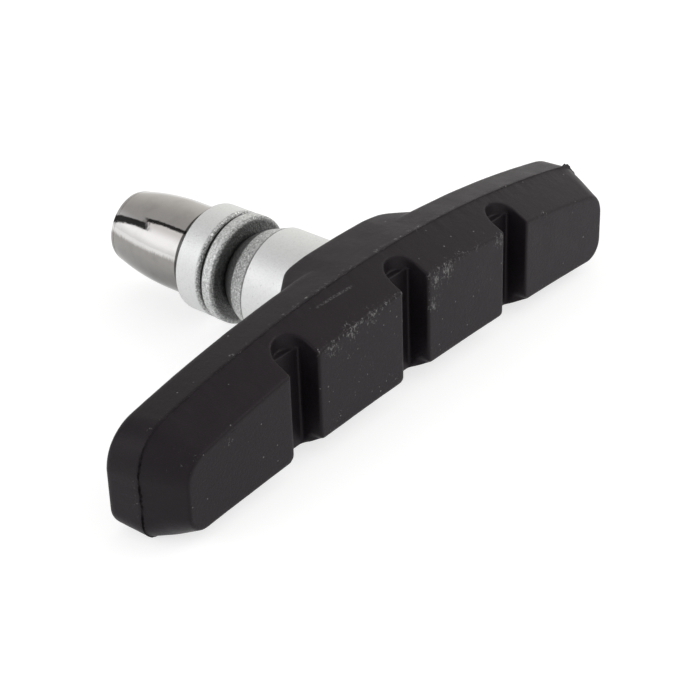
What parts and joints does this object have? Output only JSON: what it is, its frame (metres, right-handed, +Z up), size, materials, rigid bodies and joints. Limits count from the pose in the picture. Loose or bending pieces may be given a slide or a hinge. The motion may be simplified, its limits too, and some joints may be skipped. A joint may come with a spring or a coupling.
{
  "type": "bicycle rim brake pad",
  "caption": "Long curved rubber brake block with water grooves, carried on a threaded stud with a ball-and-cup washer stack and a domed cap nut for clamping to a linear-pull brake arm.",
  "frame": {"origin": "on the stud's axis, in the plane between the two cups where a brake arm is clamped", "axes": "+X along the pad, +Y along the stud away from the rim, +Z up, away from the hub"},
  "size_m": [0.0738, 0.041, 0.0159],
  "materials": {
    "rubber": "matte moulded",
    "steel": "zinc plated",
    "satin_zinc": "satin zinc plated",
    "chrome": "polished"
  },
  "bodies": {
    "root": {"brake_block": "rubber", "backing_plate": "steel", "threaded_stud": "steel", "ball_spacer": "satin_zinc", "inner_cup_washer": "satin_zinc", "outer_cup_washer": "satin_zinc", "outer_ball_washer": "satin_zinc", "cap_nut": "chrome"}
  },
  "joints": []
}
